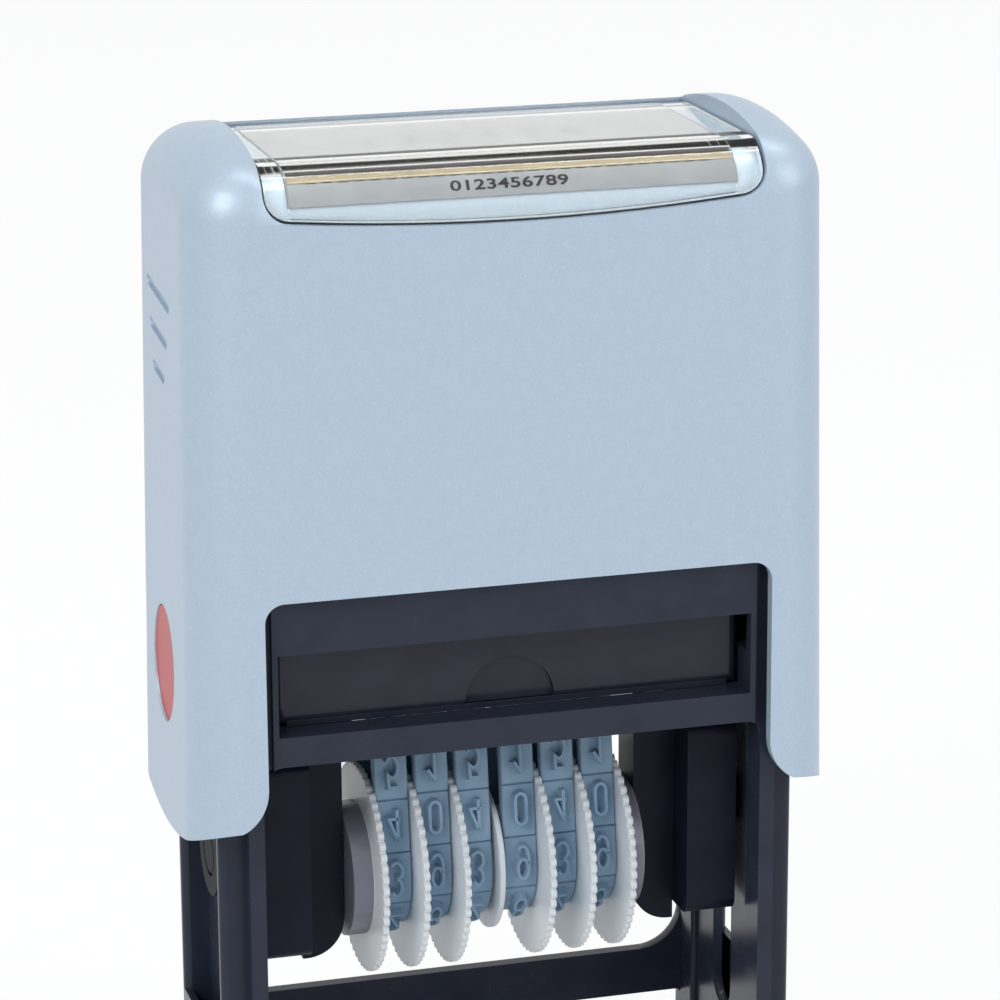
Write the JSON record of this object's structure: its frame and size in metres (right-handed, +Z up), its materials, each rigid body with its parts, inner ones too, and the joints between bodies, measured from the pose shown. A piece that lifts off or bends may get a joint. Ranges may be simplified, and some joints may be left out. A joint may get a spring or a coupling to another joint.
{
  "type": "self-inking numbering stamp",
  "caption": "Self-inking stamp with number wheels: a sprung cap over a black frame flips a carriage of type bands from the ink pad to the paper.",
  "frame": {"origin": "centre of the base's underside, on the table or paper", "axes": "+X across the stamp to the right as seen from the front, +Y to the back, +Z up to the cap"},
  "size_m": [0.0574, 0.0268, 0.0982],
  "materials": {
    "black_abs": "satin-gloss black ABS moulding",
    "cap_grey": "pearlescent light blue-grey ABS",
    "inlay_red": "plain red moulded inlay",
    "card_white": "white printed card",
    "window_clear": "clear polystyrene with a faint warm tint",
    "wheel_white": "milky white nylon",
    "band_rubber": "blue-grey type rubber",
    "pin_steel": "drawn steel",
    "spring_steel": "spring wire",
    "pad_felt": "inked felt"
  },
  "bodies": {
    "frame": {"base_frame": "black_abs"},
    "tray": {"pad_tray": "black_abs", "ink_pad": "pad_felt"},
    "cap_group": {"cap": "cap_grey", "side_inlay_left": "inlay_red", "side_inlay_right": "inlay_red", "index_card": "card_white", "index_window": "window_clear", "lift_yoke": "black_abs", "return_spring": "spring_steel"},
    "carriage": {"carriage_end_left": "black_abs", "carriage_end_right": "black_abs", "pivot_pin_left": "pin_steel", "pivot_pin_right": "pin_steel", "wheel_axle": "pin_steel", "print_bridge": "black_abs", "centre_spacer": "wheel_white", "number_band_1": "band_rubber", "number_band_2": "band_rubber", "number_band_3": "band_rubber", "number_band_4": "band_rubber", "number_band_5": "band_rubber", "number_band_6": "band_rubber"},
    "wheel_1": {"number_wheel_1": "wheel_white"},
    "wheel_2": {"number_wheel_2": "wheel_white"},
    "wheel_3": {"number_wheel_3": "wheel_white"},
    "wheel_4": {"number_wheel_4": "wheel_white"},
    "wheel_5": {"number_wheel_5": "wheel_white"},
    "wheel_6": {"number_wheel_6": "wheel_white"}
  },
  "joints": [
    {"name": "cap_press", "type": "slide", "parent": "frame", "child": "cap_group", "axis": [0, 0, -1], "range_m": [0, 0.018], "stiffness_N_per_m": 600, "springref_m": -0.01, "deforming": ["return_spring"]},
    {"name": "carriage_flip", "type": "hinge", "parent": "cap_group", "child": "carriage", "pos_m": [0, 0, 0.03375], "axis": [1, 0, 0], "range_deg": [0, 180]},
    {"name": "tray_slide", "type": "slide", "parent": "frame", "child": "tray", "axis": [0, 1, 0], "range_m": [-0.03, 0]},
    {"name": "wheel_1_spin", "type": "hinge", "parent": "carriage", "child": "wheel_1", "pos_m": [0, 0, 0.0308], "axis": [1, 0, 0], "continuous": true},
    {"name": "wheel_2_spin", "type": "hinge", "parent": "carriage", "child": "wheel_2", "pos_m": [0, 0, 0.0308], "axis": [1, 0, 0], "continuous": true},
    {"name": "wheel_3_spin", "type": "hinge", "parent": "carriage", "child": "wheel_3", "pos_m": [0, 0, 0.0308], "axis": [1, 0, 0], "continuous": true},
    {"name": "wheel_4_spin", "type": "hinge", "parent": "carriage", "child": "wheel_4", "pos_m": [0, 0, 0.0308], "axis": [1, 0, 0], "continuous": true},
    {"name": "wheel_5_spin", "type": "hinge", "parent": "carriage", "child": "wheel_5", "pos_m": [0, 0, 0.0308], "axis": [1, 0, 0], "continuous": true},
    {"name": "wheel_6_spin", "type": "hinge", "parent": "carriage", "child": "wheel_6", "pos_m": [0, 0, 0.0308], "axis": [1, 0, 0], "continuous": true}
  ],
  "couplings": [
    {"joint": "carriage_flip", "follows": "cap_press", "rad_per_m": 174.53}
  ]
}
